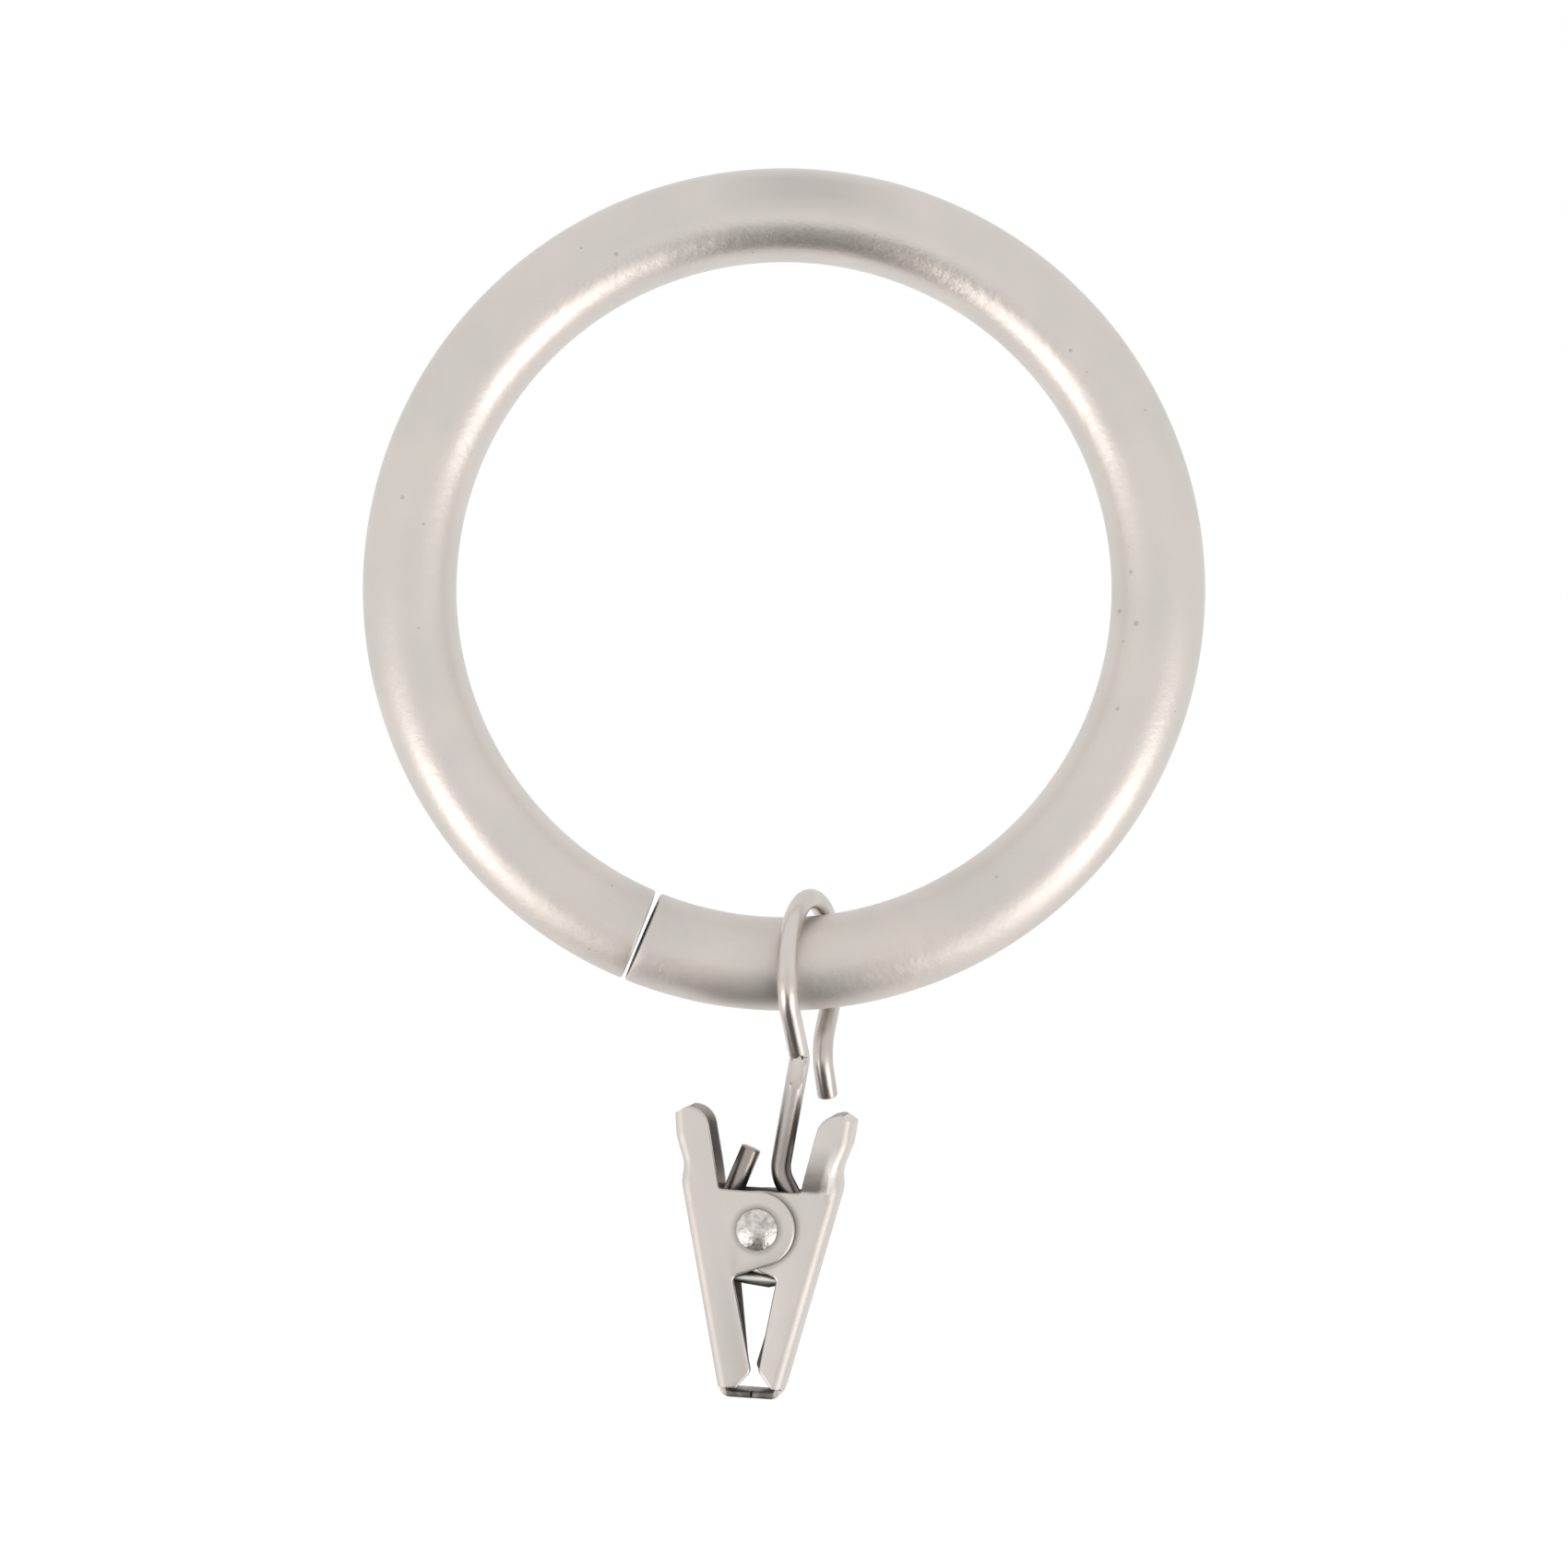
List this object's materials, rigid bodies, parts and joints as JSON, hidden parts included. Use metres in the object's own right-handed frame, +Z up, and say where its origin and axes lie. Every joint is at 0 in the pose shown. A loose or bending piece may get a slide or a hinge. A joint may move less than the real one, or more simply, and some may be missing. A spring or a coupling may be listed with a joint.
{
  "type": "curtain ring with clip",
  "caption": "Satin metal curtain ring with a swinging wire hook and a sprung toothed clip.",
  "frame": {"origin": "centre of the ring", "axes": "+Y along the curtain rod, through the ring; +Z up, with the clip hanging towards -Z"},
  "size_m": [0.0572, 0.0096, 0.0834],
  "materials": {
    "ring_metal": "satin nickel plate",
    "clip_metal": "satin nickel plate",
    "wire_metal": "bright drawn wire",
    "rivet_metal": "bright",
    "spring_metal": "bright"
  },
  "bodies": {
    "ring": {"ring": "ring_metal"},
    "hook": {"wire_hook": "wire_metal"},
    "rivet": {"rivet": "rivet_metal", "leaf_spring": "spring_metal"},
    "left_jaw": {"left_jaw": "clip_metal"},
    "right_jaw": {"right_jaw": "clip_metal"}
  },
  "joints": [
    {"name": "hook_swing", "type": "hinge", "parent": "ring", "child": "hook", "pos_m": [0.00177, 0, -0.02534], "axis": [0.9976, 0, 0.0698], "continuous": true},
    {"name": "clip_swing", "type": "hinge", "parent": "hook", "child": "rivet", "pos_m": [-0.00155, 0, -0.04324], "axis": [0.1132, 0.9936, 0], "range_deg": [-4, 16]},
    {"name": "left_jaw_turn", "type": "hinge", "parent": "rivet", "child": "left_jaw", "pos_m": [-0.00155, 0, -0.04324], "axis": [0.1132, 0.9936, 0], "range_deg": [0, 15]},
    {"name": "jaw_open", "type": "hinge", "parent": "left_jaw", "child": "right_jaw", "pos_m": [-0.00155, 0, -0.04324], "axis": [-0.1132, -0.9936, 0], "range_deg": [0, 30], "stiffness_Nm_per_rad": 0.03, "springref_deg": -57.3, "deforming": ["leaf_spring"]}
  ],
  "couplings": [
    {"joint": "left_jaw_turn", "follows": "jaw_open", "ratio": 0.5}
  ]
}
